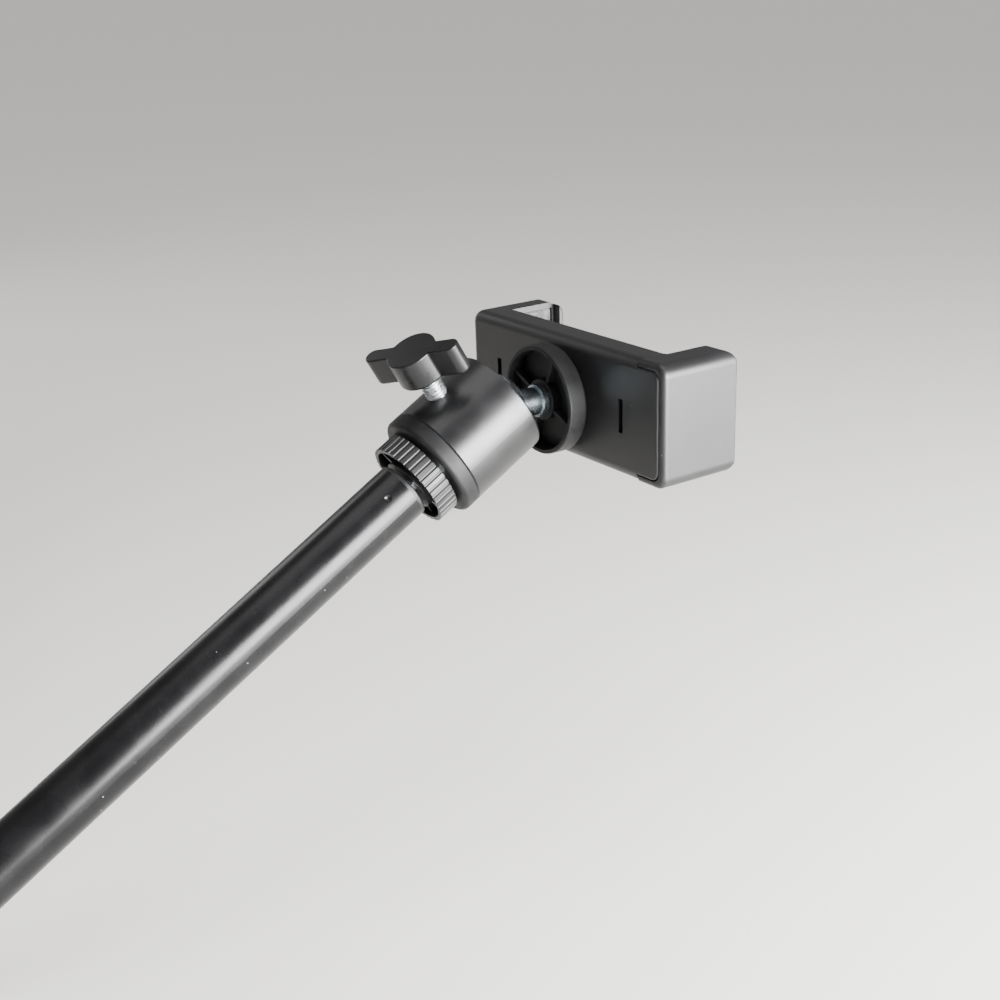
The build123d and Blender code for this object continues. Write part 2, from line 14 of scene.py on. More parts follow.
import bpy
from mathutils import Matrix, Vector


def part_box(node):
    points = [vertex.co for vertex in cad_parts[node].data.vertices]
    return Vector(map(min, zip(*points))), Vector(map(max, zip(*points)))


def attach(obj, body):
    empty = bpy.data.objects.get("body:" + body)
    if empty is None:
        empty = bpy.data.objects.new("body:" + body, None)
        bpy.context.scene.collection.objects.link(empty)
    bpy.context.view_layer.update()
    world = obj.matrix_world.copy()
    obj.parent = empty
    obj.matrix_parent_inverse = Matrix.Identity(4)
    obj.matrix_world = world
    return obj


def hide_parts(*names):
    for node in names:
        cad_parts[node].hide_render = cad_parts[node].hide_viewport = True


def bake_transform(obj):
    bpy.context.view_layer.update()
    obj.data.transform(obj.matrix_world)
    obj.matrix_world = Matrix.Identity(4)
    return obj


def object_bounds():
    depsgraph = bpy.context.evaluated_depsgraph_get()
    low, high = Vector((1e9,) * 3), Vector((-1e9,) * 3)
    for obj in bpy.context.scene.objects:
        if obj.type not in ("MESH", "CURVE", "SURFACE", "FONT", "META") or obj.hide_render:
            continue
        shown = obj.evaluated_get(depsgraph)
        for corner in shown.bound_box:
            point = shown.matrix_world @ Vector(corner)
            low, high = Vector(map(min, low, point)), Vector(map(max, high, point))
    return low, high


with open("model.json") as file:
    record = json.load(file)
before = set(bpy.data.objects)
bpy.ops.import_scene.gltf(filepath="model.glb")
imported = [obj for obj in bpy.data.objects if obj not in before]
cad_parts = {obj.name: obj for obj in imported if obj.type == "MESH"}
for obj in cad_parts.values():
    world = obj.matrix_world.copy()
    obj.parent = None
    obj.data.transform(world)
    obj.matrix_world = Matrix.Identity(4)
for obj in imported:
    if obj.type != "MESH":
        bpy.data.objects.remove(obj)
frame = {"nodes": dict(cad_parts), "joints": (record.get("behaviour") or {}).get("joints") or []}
CAD_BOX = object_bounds()

MM = 0.001
MERGE = 2e-6               # points closer than this are one point
SHARP = math.radians(40.0)  # a pad's edges that turn more than this are rounded
FACING = 0.9               # how squarely a face must look one way to be picked
log = logging.getLogger("clamp")


# ---- Places that the frame gives -------------------------------------------------------------
def joint(name: str) -> dict:
    """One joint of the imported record.

    Args:
        name: the joint's name.

    Returns:
        The joint, with its axis and position.
    """
    return next(j for j in frame["joints"] if j["name"] == name)


BALL = Vector(joint("ball_tilt")["pos_m"])
ARM_AXIS = Vector(joint("head_turn")["axis"]).normalized()
KNOB_AXIS = Vector(joint("knob_turn")["axis"]).normalized()
KNOB_FOOT = Vector(joint("knob_turn")["pos_m"])


def span(node: str, origin: Vector, direction: Vector) -> tuple[float, float]:
    """How far a node reaches along a direction.

    Args:
        node: the CAD node's name.
        origin: where the distance is counted from.
        direction: a unit vector.

    Returns:
        The least and the greatest distance, in metres.
    """
    reach = [(v.co - origin).dot(direction) for v in frame["nodes"][node].data.vertices]
    return min(reach), max(reach)


def girth(node: str, origin: Vector, direction: Vector) -> float:
    """The greatest distance of a node's points from an axis.

    Args:
        node: the CAD node's name.
        origin: a point on the axis.
        direction: the axis, a unit vector.

    Returns:
        The radius, in metres.
    """
    return max((v.co - origin).cross(direction).length for v in frame["nodes"][node].data.vertices)


# ---- Modelling by hand -----------------------------------------------------------------------
def clear_selection() -> None:
    """Leave edit mode and deselect every object."""
    if bpy.context.mode != "OBJECT":
        bpy.ops.object.mode_set(mode="OBJECT")
    bpy.ops.object.select_all(action="DESELECT")


def pick(piece: bpy.types.Object) -> None:
    """Make one object the only selected and the active one.

    Args:
        piece: the object.
    """
    clear_selection()
    piece.select_set(True)
    bpy.context.view_layer.objects.active = piece


def edit(piece: bpy.types.Object, kind: str = "VERT") -> None:
    """Open a piece in edit mode with everything in it selected.

    Args:
        piece: the mesh object.
        kind: what is selected, VERT, EDGE or FACE.
    """
    pick(piece)
    bpy.ops.object.mode_set(mode="EDIT")
    bpy.ops.mesh.select_mode(type=kind)
    bpy.ops.mesh.select_all(action="SELECT")


def trace(name: str, points: Sequence[Vector]) -> bpy.types.Object:
    """Draw a line of edges by extruding one point from place to place.

    Args:
        name: the new piece's name.
        points: the line's corners.

    Returns:
        The new object, which is only edges.
    """
    clear_selection()
    bpy.ops.mesh.primitive_plane_add(size=MM)
    piece = bpy.context.active_object
    piece.name = name
    edit(piece)
    bpy.ops.mesh.merge(type="CENTER")
    bpy.ops.transform.translate(value=points[0])
    for here, there in zip(points, points[1:]):
        bpy.ops.mesh.extrude_vertices_move(TRANSFORM_OT_translate={"value": there - here})
    bpy.ops.object.mode_set(mode="OBJECT")
    return piece


def close_up(piece: bpy.types.Object) -> None:
    """Join points that meet and turn the faces outwards.

    Args:
        piece: the mesh object.
    """
    edit(piece)
    bpy.ops.mesh.remove_doubles(threshold=MERGE)
    bpy.ops.mesh.normals_make_consistent(inside=False)
    bpy.ops.object.mode_set(mode="OBJECT")


def cap_ends(piece: bpy.types.Object) -> None:
    """Close the open ends of a coil or a thread and turn the faces outwards.

    Args:
        piece: the mesh object.
    """
    edit(piece)
    bpy.ops.mesh.remove_doubles(threshold=MERGE)
    bpy.ops.mesh.select_all(action="DESELECT")
    bpy.ops.mesh.select_non_manifold()
    bpy.ops.mesh.fill()
    bpy.ops.mesh.select_all(action="SELECT")
    bpy.ops.mesh.normals_make_consistent(inside=False)
    bpy.ops.object.mode_set(mode="OBJECT")


def turn_on_lathe(piece: bpy.types.Object, steps: int = 128) -> None:
    """Spin a traced line once around local Z.

    Args:
        piece: the traced line, drawn in the XZ plane.
        steps: how many steps the full turn has.
    """
    edit(piece)
    bpy.ops.mesh.spin(steps=steps, angle=math.tau, center=(0, 0, 0), axis=(0, 0, 1))
    bpy.ops.object.mode_set(mode="OBJECT")
    close_up(piece)


def apply_modifier(piece: bpy.types.Object, kind: str, **settings) -> None:
    """Add a modifier to a piece and apply it.

    Args:
        piece: the mesh object.
        kind: the modifier's type.
        **settings: the modifier's settings.
    """
    pick(piece)
    modifier = piece.modifiers.new(kind.title(), kind)
    for setting, value in settings.items():
        setattr(modifier, setting, value)
    bpy.ops.object.modifier_apply(modifier=modifier.name)


def stand_at(piece: bpy.types.Object, origin: Vector, axis: Vector, across: Vector) -> None:
    """Move a piece drawn about local Z to its place, and leave its object at the origin.

    Args:
        piece: the mesh object.
        origin: where its local origin goes.
        axis: where its local Z points.
        across: roughly where its local X points.
    """
    z = axis.normalized()
    x = (across - across.dot(z) * z).normalized()
    piece.matrix_world = Matrix.Translation(origin) @ Matrix((x, z.cross(x), z)).transposed().to_4x4()
    pick(piece)
    bpy.ops.object.transform_apply(location=True, rotation=True, scale=True)


def smooth(piece: bpy.types.Object, degrees: float = 30.0) -> None:
    """Shade a piece smooth, with creases where its faces turn sharply.

    Args:
        piece: the mesh object.
        degrees: the turn that stays a crease.
    """
    pick(piece)
    bpy.ops.object.shade_smooth_by_angle(angle=math.radians(degrees))


# ---- Finishes --------------------------------------------------------------------------------
def linear(code: str) -> tuple[float, float, float, float]:
    """An sRGB hex colour as a linear colour.

    Args:
        code: the colour, such as "#1a1a1b".

    Returns:
        Red, green, blue and an alpha of one.
    """
    parts = [int(code[i:i + 2], 16) / 255 for i in (1, 3, 5)]
    parts = [p / 12.92 if p <= 0.04045 else ((p + 0.055) / 1.055) ** 2.4 for p in parts]
    return (*parts, 1.0)


def add(tree: bpy.types.NodeTree, kind: str, settings: Optional[dict] = None,
        links: Optional[dict] = None) -> bpy.types.Node:
    """Add a node with its settings and its links.

    Args:
        tree: the material's node tree.
        kind: the node's type.
        settings: values by attribute, or by the name or number of an input. "stops" sets a ramp.
        links: outputs of other nodes, by the name or number of the input that each feeds.

    Returns:
        The new node.
    """
    made = tree.nodes.new(kind)
    for key, value in (settings or {}).items():
        if key == "stops":
            for element, (place, colour) in zip(made.color_ramp.elements, value):
                element.position, element.color = place, colour
        elif isinstance(key, str) and hasattr(made, key):
            setattr(made, key, value)
        else:
            made.inputs[key].default_value = value
    for key, output in (links or {}).items():
        tree.links.new(output, made.inputs[key])
    return made


@dataclass(frozen=True)
class Finish:
    """A surface with blotches of tone and gloss, a fine relief and a broad one."""

    name: str
    slot: str
    tones: tuple[str, str]
    gloss: tuple[float, float]              # the least and the greatest roughness
    blotch_mm: float = 9.0
    grain_mm: float = 0.5
    grain_depth_mm: float = 0.004
    swell_mm: float = 14.0
    swell_depth_mm: float = 0.0
    metallic: float = 0.0
    ior: float = 1.5
    coat: float = 0.0
    coat_roughness: float = 0.05
    sheen: float = 0.0
    tone_ramp: tuple[float, float] = (0.35, 0.68)   # the noise levels of the two tones
    gloss_ramp: tuple[float, float] = (0.3, 0.7)    # the noise levels of the two roughnesses

    def build(self) -> bpy.types.Material:
        """Make the material.

        Returns:
            The finished material.
        """
        made = bpy.data.materials.new(self.name)
        made.use_nodes = True
        tree = made.node_tree
        tree.nodes.clear()
        place = add(tree, "ShaderNodeTexCoord").outputs["Object"]
        blotches = add(tree, "ShaderNodeTexNoise", {"Scale": 1 / (self.blotch_mm * MM), "Detail": 5.0},
                       {"Vector": place}).outputs["Fac"]
        stops = tuple(zip(self.tone_ramp, (linear(code) for code in self.tones)))
        tone = add(tree, "ShaderNodeValToRGB", {"stops": stops}, {"Fac": blotches}).outputs["Color"]
        rough = add(tree, "ShaderNodeMapRange",
                    {"From Min": self.gloss_ramp[0], "From Max": self.gloss_ramp[1],
                     "To Min": self.gloss[0], "To Max": self.gloss[1]},
                    {"Value": blotches}).outputs["Result"]
        tone, rough = self.mark(tree, place, tone, rough)
        shader = add(tree, "ShaderNodeBsdfPrincipled",
                     {"Metallic": self.metallic, "Coat Weight": self.coat,
                      "Coat Roughness": self.coat_roughness, "Sheen Weight": self.sheen},
                     {"Base Color": tone, "Roughness": rough, "Normal": self.relief(tree, place)})
        if not self.metallic:
            shader.inputs["IOR"].default_value = self.ior
        add(tree, "ShaderNodeOutputMaterial", links={"Surface": shader.outputs["BSDF"]})
        return made

    def mark(self, tree: bpy.types.NodeTree, place: bpy.types.NodeSocket, tone: bpy.types.NodeSocket,
             rough: bpy.types.NodeSocket) -> tuple[bpy.types.NodeSocket, bpy.types.NodeSocket]:
        """Add what only this finish has. The plain finish adds nothing.

        Args:
            tree: the material's node tree.
            place: the object coordinates.
            tone: the colour so far.
            rough: the roughness so far.

        Returns:
            The colour and the roughness to use.
        """
        return tone, rough

    def relief(self, tree: bpy.types.NodeTree, place: bpy.types.NodeSocket) -> bpy.types.NodeSocket:
        """The surface's relief: broad swells first, then the grain on them.

        Args:
            tree: the material's node tree.
            place: the object coordinates.

        Returns:
            The normal to shade with.
        """
        swell = add(tree, "ShaderNodeTexNoise", {"Scale": 1 / (self.swell_mm * MM), "Detail": 1.0},
                    {"Vector": place}).outputs["Fac"]
        broad = add(tree, "ShaderNodeBump", {"Distance": self.swell_depth_mm * MM, "Strength": 1.0},
                    {"Height": swell}).outputs["Normal"]
        grain = add(tree, "ShaderNodeTexNoise", {"Scale": 1 / (self.grain_mm * MM), "Detail": 3.0},
                    {"Vector": place}).outputs["Fac"]
        return add(tree, "ShaderNodeBump", {"Distance": self.grain_depth_mm * MM, "Strength": 1.0},
                   {"Height": grain, "Normal": broad}).outputs["Normal"]


@dataclass(frozen=True)
class DustedFinish(Finish):
    """A finish with a few pale specks of dust or paint nibs lying on it."""

    speck_tone: str = "#8f8f8c"
    speck_mm: float = 3.2                   # the usual distance between specks
    speck_size: float = 0.09                # a speck's radius, as a share of that distance
    bare_share: float = 0.72                # the share of places that hold no speck
    dulling: float = 0.4                    # how much rougher a speck is

    def mark(self, tree: bpy.types.NodeTree, place: bpy.types.NodeSocket, tone: bpy.types.NodeSocket,
             rough: bpy.types.NodeSocket) -> tuple[bpy.types.NodeSocket, bpy.types.NodeSocket]:
        """Scatter the specks.

        Args:
            tree: the material's node tree.
            place: the object coordinates.
            tone: the colour so far.
            rough: the roughness so far.

        Returns:
            The colour and the roughness to use.
        """
        cells = add(tree, "ShaderNodeTexVoronoi", {"Scale": 1 / (self.speck_mm * MM)}, {"Vector": place})
        near = add(tree, "ShaderNodeMath", {"operation": "LESS_THAN", 1: self.speck_size},
                   {0: cells.outputs["Distance"]}).outputs["Value"]
        some = add(tree, "ShaderNodeMath", {"operation": "GREATER_THAN", 1: self.bare_share},
                   {0: cells.outputs["Color"]}).outputs["Value"]
        speck = add(tree, "ShaderNodeMath", {"operation": "MULTIPLY"}, {0: near, 1: some}).outputs["Value"]
        tone = add(tree, "ShaderNodeMix", {"data_type": "RGBA", 7: linear(self.speck_tone)},
                   {0: speck, 6: tone}).outputs[2]
        rough = add(tree, "ShaderNodeMath", {"operation": "MULTIPLY_ADD", 1: self.dulling, "use_clamp": True},
                    {0: speck, 2: rough}).outputs["Value"]
        return tone, rough


@dataclass(frozen=True)
class SpeckledFoam(Finish):
    """Ground foam pressed in a sheet: grains of two greys, with the odd pale crumb."""

    crumb_tone: str = "#686866"
    crumb_mm: float = 0.55
    crumb_range: tuple[float, float] = (0.45, 0.95)  # from no crumb to a full one
    crumb_strength: float = 0.75

    def mark(self, tree: bpy.types.NodeTree, place: bpy.types.NodeSocket, tone: bpy.types.NodeSocket,
             rough: bpy.types.NodeSocket) -> tuple[bpy.types.NodeSocket, bpy.types.NodeSocket]:
        """Scatter the crumbs.

        Args:
            tree: the material's node tree.
            place: the object coordinates.
            tone: the colour so far.
            rough: the roughness so far.

        Returns:
            The colour and the roughness to use.
        """
        cells = add(tree, "ShaderNodeTexVoronoi", {"Scale": 1 / (self.crumb_mm * MM)}, {"Vector": place})
        least, most = self.crumb_range
        share = add(tree, "ShaderNodeMapRange",
                    {"From Min": least, "From Max": most, "To Max": self.crumb_strength},
                    {"Value": cells.outputs["Color"]}).outputs["Result"]
        tone = add(tree, "ShaderNodeMix", {"data_type": "RGBA", 7: linear(self.crumb_tone)},
                   {0: share, 6: tone}).outputs[2]
        return tone, rough


@dataclass(frozen=True)
class TurnedMetal(Finish):
    """Bar stock cut on a lathe, with fine rings about the axis of the piece."""

    axis: tuple[float, float, float] = (0.0, 1.0, 0.0)
    ring_mm: float = 0.35
    ring_depth_mm: float = 0.003

    def relief(self, tree: bpy.types.NodeTree, place: bpy.types.NodeSocket) -> bpy.types.NodeSocket:
        """Rings along the axis, over the grain.

        Args:
            tree: the material's node tree.
            place: the object coordinates.

        Returns:
            The normal to shade with.
        """
        along = add(tree, "ShaderNodeVectorMath", {"operation": "DOT_PRODUCT", 1: self.axis}, {0: place})
        height = add(tree, "ShaderNodeTexNoise",
                     {"noise_dimensions": "1D", "Scale": 1 / (self.ring_mm * MM), "Detail": 3.0},
                     {"W": along.outputs["Value"]}).outputs["Fac"]
        return add(tree, "ShaderNodeBump", {"Distance": self.ring_depth_mm * MM, "Strength": 1.0},
                   {"Height": height, "Normal": super().relief(tree, place)}).outputs["Normal"]


class Stock(Enum):
    """The finishes that the object is made in."""

    # Steel tube in black stoving enamel: one long soft highlight, and specks of dust that show.
    # Its index is under the usual 1.5, so that the side away from the light stays black.
    ENAMEL = DustedFinish("black stoving enamel", "gloss_black_paint", ("#080809", "#0f0f10"),
                          (0.24, 0.3), grain_mm=0.8, grain_depth_mm=0.001, swell_mm=6.0,
                          swell_depth_mm=0.004, ior=1.36, speck_mm=2.3, speck_size=0.075,
                          speck_tone="#777774")
    # Zinc casting in black powder coat: satin, with the faint orange peel of baked powder.
    POWDER = DustedFinish("black powder coat", "satin_black_paint", ("#0b0b0c", "#121213"), (0.28, 0.35),
                          grain_mm=0.6, grain_depth_mm=0.003, swell_mm=2.4, swell_depth_mm=0.006,
                          speck_mm=4.5, speck_size=0.06, speck_tone="#6c6c6a")
    # ABS from a spark-eroded mould: an even matt grain that spreads the light to a grey bloom.
    # The real grain is about 0.1 mm across, drawn coarser here so that it shows.
    ABS = DustedFinish("spark eroded ABS", "black_abs", ("#0f0f10", "#161617"), (0.4, 0.48),
                       blotch_mm=16.0, grain_mm=0.35, grain_depth_mm=0.012, swell_mm=22.0,
                       swell_depth_mm=0.03, speck_mm=4.0, speck_size=0.05, speck_tone="#5c5c5a")
    # ABS from a polished mould, dulled by fingers: darker than the eroded grain, with tighter
    # lights. The index is set low here and in the dull nylon, for the same reason as the enamel's.
    HANDLED = Finish("handled polished ABS", "black_abs", ("#09090a", "#0f0f10"), (0.26, 0.36),
                     blotch_mm=5.0, ior=1.38, grain_mm=0.5, grain_depth_mm=0.002, swell_mm=4.0,
                     swell_depth_mm=0.004)
    # Glass-filled nylon: a little greyer and duller than ABS, with short streaks of gloss.
    NYLON = Finish("glass filled nylon", "black_nylon", ("#0e0e0f", "#171718"), (0.4, 0.52),
                   blotch_mm=4.0, grain_mm=0.5, grain_depth_mm=0.006, swell_mm=5.0, swell_depth_mm=0.006)
    # The same nylon from a plainly ground mould: dull and dark, so it stays quiet beside the casting.
    DULL = Finish("dull filled nylon", "black_nylon", ("#0a0a0b", "#101011"), (0.5, 0.62), blotch_mm=4.0,
                  grain_mm=0.5, grain_depth_mm=0.008, swell_mm=5.0, swell_depth_mm=0.006, ior=1.34)
    # Bright zinc plate over rolled steel: pale and slightly blue, clouded in small random blotches.
    ZINC = Finish("bright zinc plate", "zinc_plate", ("#a9adb0", "#cfd2d3"), (0.2, 0.38), blotch_mm=1.6,
                  grain_mm=0.3, grain_depth_mm=0.002, metallic=1.0)
    # Turned steel with a faint blue oxide: pale and cold, with fine tool rings.
    BLUED = TurnedMetal("blued turned steel", "burnished_steel", ("#99a4ab", "#c0c9ce"), (0.2, 0.3),
                        blotch_mm=5.0, metallic=1.0)
    # Steel set nearly black as painted shade for the dark gap under the lock ring's skirt, where the nut
    # sits, with the tool rings just showing.
    BLACKED = TurnedMetal("steel painted with gap shade", "burnished_steel", ("#1b1c1e", "#292a2c"), (0.35, 0.5),
                          blotch_mm=2.0, metallic=1.0, axis=tuple(ARM_AXIS))
    # Turned brass, left bare.
    BRASS = TurnedMetal("bare turned brass", "brass", ("#a58a4e", "#c2a564"), (0.24, 0.36), blotch_mm=3.0,
                        metallic=1.0, axis=tuple(ARM_AXIS))
    # Ground EVA foam: a speckled dull grey with no highlight.
    FOAM = SpeckledFoam("speckled EVA foam", "rubber", ("#2e2e2f", "#4a4a4a"), (0.8, 0.95), blotch_mm=1.2,
                        grain_mm=0.6, grain_depth_mm=0.05, sheen=0.15)
    # Natural acetal: milky white and waxy.
    ACETAL = Finish("natural acetal", "acetal", ("#d9d8cf", "#e6e5de"), (0.35, 0.45))


class Paintbox:
    """Makes each finish once and puts it on pieces."""

    def __init__(self) -> None:
        """Start with nothing mixed."""
        self.mixed: dict[Stock, bpy.types.Material] = {}

    def material(self, stock: Stock) -> bpy.types.Material:
        """The finish as a material.

        Args:
            stock: the finish.

        Returns:
            The material, made the first time it is asked for.
        """
        if stock not in self.mixed:
            self.mixed[stock] = stock.value.build()
        return self.mixed[stock]

    def dress_node(self, node: str, stock: Stock) -> None:
        """Give a CAD node its finish.

        Args:
            node: the node's name.
            stock: the finish.
        """
        for material_slot in frame["nodes"][node].material_slots:
            material_slot.material = self.material(stock)
        log.info("%s: %s", node, stock.value.name)

    def dress_piece(self, piece: bpy.types.Object, stock: Stock, stands_for: Sequence[str],
                    body: Optional[str]) -> None:
        """Finish a new piece: its material, what it stands for and what it moves with.

        Args:
            piece: the mesh object.
            stock: the finish.
            stands_for: the CAD nodes that it replaces.
            body: the body it rides on, or None to leave it on no body.
        """
        piece.data.materials.clear()
        piece.data.materials.append(self.material(stock))
        if stands_for:
            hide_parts(*stands_for)
        if body:
            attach(piece, body)
        log.info("%s: %s, %d faces", piece.name, stock.value.name, len(piece.data.polygons))


PAINTS = Paintbox()


# ---- Tube arm and lock ring --------------------------------------------------------------------
@dataclass
class TubeArm:
    """The enamelled tube with its plugs, and the fluted ring that locks the head to it."""

    # The lock ring's nut gets the nearly black steel: painted shade for the gap it sits in.
    plain_nodes: tuple[tuple[str, Stock], ...] = (
        ("arm_tube", Stock.ENAMEL), ("top_plug", Stock.NYLON), ("top_stud", Stock.ZINC),
        ("foot_plug", Stock.NYLON), ("foot_insert", Stock.BRASS), ("lock_ring", Stock.NYLON),
        ("lock_ring_nut", Stock.BLACKED), ("lock_washer", Stock.ZINC))

    def make(self) -> None:
        """Dress the arm's own nodes."""
        for node, stock in self.plain_nodes:
            PAINTS.dress_node(node, stock)


# ---- Ball head -----------------------------------------------------------------------------------
@dataclass
class BallHead:
    """The housing with its cap, the ball and its stem, and the platform disc."""

    plain_nodes: tuple[tuple[str, Stock], ...] = (
        ("base_cap", Stock.DULL), ("base_insert", Stock.BRASS), ("housing", Stock.POWDER),
        ("ball_seat", Stock.ACETAL), ("ball_stud", Stock.BLUED), ("platform_disc", Stock.DULL),
        ("clamp_screw", Stock.ZINC))

    def make(self) -> None:
        """Dress the head's own nodes."""
        for node, stock in self.plain_nodes:
            PAINTS.dress_node(node, stock)


@dataclass
class LockKnob:
    """The winged knob on its threaded screw."""

    pitch: float = 1.0 * MM
    core_radius: float = 2.42 * MM
    crest: float = 0.12 * MM                # the flat on the thread's crest
    steps: int = 64                         # how many steps one turn of the thread has

    def make(self) -> None:
        """Cut the thread and dress the knob."""
        self.cut_thread()
        PAINTS.dress_node("lock_knob", Stock.HANDLED)
        PAINTS.dress_node("lock_pad", Stock.BRASS)

    def cut_thread(self) -> None:
        """Put a real helical thread in place of the plain screw."""
        low, high = span("lock_screw", KNOB_FOOT, KNOB_AXIS)
        radius = girth("lock_screw", KNOB_FOOT, KNOB_AXIS)
        turns = int((high - low) / self.pitch) - 1
        half, crest = self.pitch / 2, self.crest / 2
        groove = [Vector((self.core_radius, 0, 0)), Vector((radius, 0, half - crest)),
                  Vector((radius, 0, half + crest)), Vector((self.core_radius, 0, self.pitch))]
        screw = trace("lock_screw_thread", groove)
        apply_modifier(screw, "SCREW", axis="Z", angle=math.tau, screw_offset=self.pitch,
                       iterations=turns, steps=self.steps, render_steps=self.steps, use_merge_vertices=True,
                       merge_threshold=MERGE)
        cap_ends(screw)
        stand_at(screw, KNOB_FOOT + KNOB_AXIS * (low + self.pitch / 2), KNOB_AXIS, Vector((1, 0, 0)))
        smooth(screw)
        PAINTS.dress_piece(screw, Stock.ZINC, ["lock_screw"], "knob")


# ---- Clamp ---------------------------------------------------------------------------------------
@dataclass
class FoamPad:
    """A flat foam pad with a soft edge and a slight crown on its open face."""

    node: str
    body: str
    faces: Vector                           # the way its open face looks
    edge: float = 0.35 * MM
    rim: float = 1.6 * MM
    crown: float = 0.18 * MM
    crease: float = 50.0

    def make(self) -> None:
        """Build and dress the pad."""
        low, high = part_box(self.node)
        clear_selection()
        bpy.ops.mesh.primitive_cube_add(size=1, location=(low + high) / 2, scale=high - low)
        pad = bpy.context.active_object
        pad.name = f"{self.node}_foam"
        pick(pad)
        bpy.ops.object.transform_apply(location=True, rotation=True, scale=True)
        edit(pad, "FACE")
        bpy.ops.transform.translate(value=-self.faces * self.crown)
        bpy.ops.object.mode_set(mode="OBJECT")
        self.select_open_face(pad)
        bpy.ops.mesh.inset(thickness=self.rim)
        bpy.ops.transform.translate(value=self.faces * self.crown)
        bpy.ops.mesh.inset(thickness=self.rim)
        bpy.ops.object.mode_set(mode="OBJECT")
        apply_modifier(pad, "BEVEL", width=self.edge, segments=3, limit_method="ANGLE",
                       angle_limit=SHARP)
        smooth(pad, self.crease)
        PAINTS.dress_piece(pad, Stock.FOAM, [self.node], self.body)

    def select_open_face(self, pad: bpy.types.Object) -> None:
        """Open the pad in edit mode with only its open face selected.

        Args:
            pad: the pad.
        """
        edit(pad, "FACE")
        bpy.ops.mesh.select_all(action="DESELECT")
        bpy.ops.object.mode_set(mode="OBJECT")
        for face in pad.data.polygons:
            face.select = face.normal.dot(self.faces) > FACING
        bpy.ops.object.mode_set(mode="EDIT")


@dataclass
class JawSpring:
    """A tension spring between the body's post and the sliding jaw's rail."""

    node: str
    wire: float = 0.5 * MM
    pitch: float = 0.62 * MM
    wire_sides: int = 10
    steps: int = 28                         # how many steps one turn of the coil has
    crease: float = 60.0

    def make(self) -> None:
        """Wind and dress the spring."""
        low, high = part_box(self.node)
        radius = (high.z - low.z) / 2 - self.wire / 2
        turns = int((high.x - low.x - self.wire) / self.pitch)
        clear_selection()
        bpy.ops.mesh.primitive_circle_add(vertices=self.wire_sides, radius=self.wire / 2,
                                          location=(radius, 0, 0), rotation=(math.radians(90), 0, 0))
        spring = bpy.context.active_object
        spring.name = f"{self.node}_coil"
        pick(spring)
        bpy.ops.object.transform_apply(location=True, rotation=True, scale=True)
        apply_modifier(spring, "SCREW", axis="Z", angle=math.tau, screw_offset=self.pitch,
                       iterations=turns, steps=self.steps, render_steps=self.steps)
        cap_ends(spring)
        middle = (low + high) / 2
        start = Vector((low.x + self.wire / 2, middle.y, middle.z))
        stand_at(spring, start, Vector((1, 0, 0)), Vector((0, 0, 1)))
        smooth(spring, self.crease)
        PAINTS.dress_piece(spring, Stock.ZINC, [self.node], None)
        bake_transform(spring)


@dataclass
class PhoneClamp:
    """The body with its fixed jaw, the sliding jaw, their foam pads and the two springs."""

    plain_nodes: tuple[tuple[str, Stock], ...] = (
        ("rear_shell", Stock.ABS), ("moving_jaw", Stock.ABS), ("front_cover", Stock.ABS),
        ("clamp_nut", Stock.BRASS))
    pads: tuple[FoamPad, ...] = (
        FoamPad("fixed_jaw_pad", "clamp", Vector((1, 0, 0))),
        FoamPad("moving_jaw_pad", "jaw", Vector((-1, 0, 0))),
        FoamPad("front_pad", "clamp", Vector((0, 1, 0)), rim=3.0 * MM))
    springs: tuple[JawSpring, ...] = (JawSpring("upper_spring"), JawSpring("lower_spring"))
    washer_edge: float = 0.25 * MM
    washer_crease: float = 50.0

    def make(self) -> None:
        """Build and dress the clamp."""
        for node, stock in self.plain_nodes:
            PAINTS.dress_node(node, stock)
        for pad in self.pads:
            pad.make()
        for spring in self.springs:
            spring.make()
        self.make_disc_pad()

    def make_disc_pad(self) -> None:
        """Build and dress the foam washer between the platform disc and the clamp."""
        forwards = Vector((0, 1, 0))
        low, high = span("platform_pad", BALL, forwards)
        outer = girth("platform_pad", BALL, forwards)
        inner = girth("clamp_screw", BALL, forwards)
        washer = trace("platform_pad_foam", [
            Vector((inner, 0, 0)), Vector((outer, 0, 0)), Vector((outer, 0, high - low)),
            Vector((inner, 0, high - low)), Vector((inner, 0, 0))])
        turn_on_lathe(washer)
        apply_modifier(washer, "BEVEL", width=self.washer_edge, segments=3, limit_method="ANGLE",
                       angle_limit=SHARP)
        stand_at(washer, BALL + forwards * low, forwards, Vector((1, 0, 0)))
        smooth(washer, self.washer_crease)
        PAINTS.dress_piece(washer, Stock.FOAM, ["platform_pad"], "clamp")


# ---- Studio ----------------------------------------------------------------------------------------
@dataclass(frozen=True)
class SoftLight:
    """A large soft box, aimed at the ball head."""

    name: str
    azimuth: float                          # degrees from +X towards +Y
    elevation: float
    distance: float
    size: tuple[float, float]
    watts: float

    def make(self) -> None:
        """Hang the light and aim it."""
        turn, rise = math.radians(self.azimuth), math.radians(self.elevation)
        away = Vector((math.cos(turn) * math.cos(rise), math.sin(turn) * math.cos(rise),
                       math.sin(rise)))
        clear_selection()
        bpy.ops.object.light_add(type="AREA", location=BALL + away * self.distance)
        lamp = bpy.context.active_object
        lamp.name = self.name
        lamp.rotation_euler = away.to_track_quat("Z", "Y").to_euler()
        lamp.data.shape = "RECTANGLE"
        lamp.data.size, lamp.data.size_y = self.size
        lamp.data.energy = self.watts


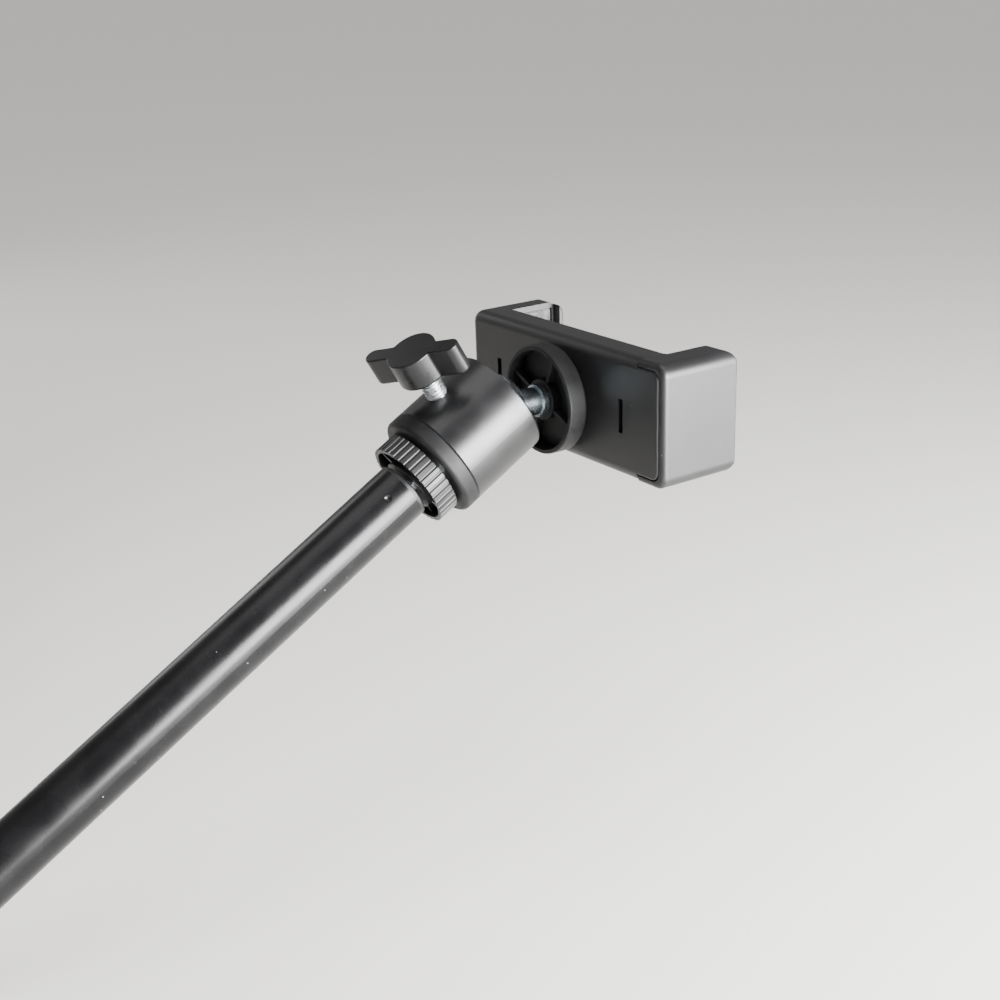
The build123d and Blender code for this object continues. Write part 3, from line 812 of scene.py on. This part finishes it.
@dataclass
class Studio:
    """A pale floor, plain soft light and the camera."""

    station: Vector = Vector((0.3275, -0.0340, 0.2275))
    azimuth: float = 55.68                  # the way the camera looks, from +Y towards -X
    elevation: float = 20.27                # how far it looks down
    roll: float = -1.95
    lens: float = 54.16
    sensor: float = 36.0
    nearest: float = 0.01                   # what is closer to the camera isn't drawn
    floor_size: float = 30.0
    floor_tone: str = "#e4e2de"
    floor_roughness: float = 0.9
    lights: tuple[SoftLight, ...] = (
        SoftLight("key", 16.0, 3.0, 0.62, (0.58, 0.34), 48.0),
        SoftLight("rim", 190.0, 20.0, 0.9, (0.2, 0.5), 1.0))
    sky_angle: float = 50.0                 # how wide the overhead light is, in degrees
    sky_strength: float = 1.3
    air_tone: str = "#f0f0f0"
    air_strength: float = 0.4

    def make(self) -> None:
        """Set the stage."""
        self.lay_floor()
        for light in self.lights:
            light.make()
        self.hang_sky()
        self.set_air()
        self.place_camera()

    def lay_floor(self) -> None:
        """A plain pale floor at the object's lowest point."""
        lowest = CAD_BOX[0][2]
        clear_selection()
        bpy.ops.mesh.primitive_plane_add(size=self.floor_size, location=(0, 0, lowest))
        floor = bpy.context.active_object
        floor.name = "floor"
        paper = bpy.data.materials.new("matt pale paper")
        paper.use_nodes = True
        shader = paper.node_tree.nodes["Principled BSDF"]
        shader.inputs["Base Color"].default_value = linear(self.floor_tone)
        shader.inputs["Roughness"].default_value = self.floor_roughness
        floor.data.materials.append(paper)

    def hang_sky(self) -> None:
        """A broad even light from overhead, the same all over the floor."""
        clear_selection()
        bpy.ops.object.light_add(type="SUN", location=(0, 0, 1))
        sky = bpy.context.active_object
        sky.name = "sky"
        sky.data.angle = math.radians(self.sky_angle)
        sky.data.energy = self.sky_strength

    def set_air(self) -> None:
        """An even pale surround."""
        world = bpy.data.worlds.new("studio")
        world.use_nodes = True
        background = world.node_tree.nodes["Background"]
        background.inputs["Color"].default_value = linear(self.air_tone)
        background.inputs["Strength"].default_value = self.air_strength
        bpy.context.scene.world = world

    def place_camera(self) -> None:
        """The camera, at its station, level but for a slight roll."""
        turn, drop, roll = (math.radians(a) for a in (self.azimuth, self.elevation, self.roll))
        ahead = Vector((-math.sin(turn) * math.cos(drop), math.cos(turn) * math.cos(drop),
                        -math.sin(drop)))
        level = ahead.cross(Vector((0, 0, 1))).normalized()
        right = level * math.cos(roll) + level.cross(ahead) * math.sin(roll)
        up = right.cross(ahead)
        clear_selection()
        bpy.ops.object.camera_add()
        camera = bpy.context.active_object
        camera.matrix_world = Matrix.Translation(self.station) @ Matrix(
            (right, up, -ahead)).transposed().to_4x4()
        camera.data.lens = self.lens
        camera.data.sensor_width = self.sensor
        camera.data.clip_start = self.nearest
        bpy.context.scene.camera = camera


def main() -> None:
    """Build and dress every sub-assembly, then set the stage."""
    logging.basicConfig(level=logging.INFO, format="%(name)s %(message)s")
    for assembly in (TubeArm(), BallHead(), LockKnob(), PhoneClamp(), Studio()):
        log.info("building %s", type(assembly).__name__)
        assembly.make()


if __name__ == "__main__":
    main()
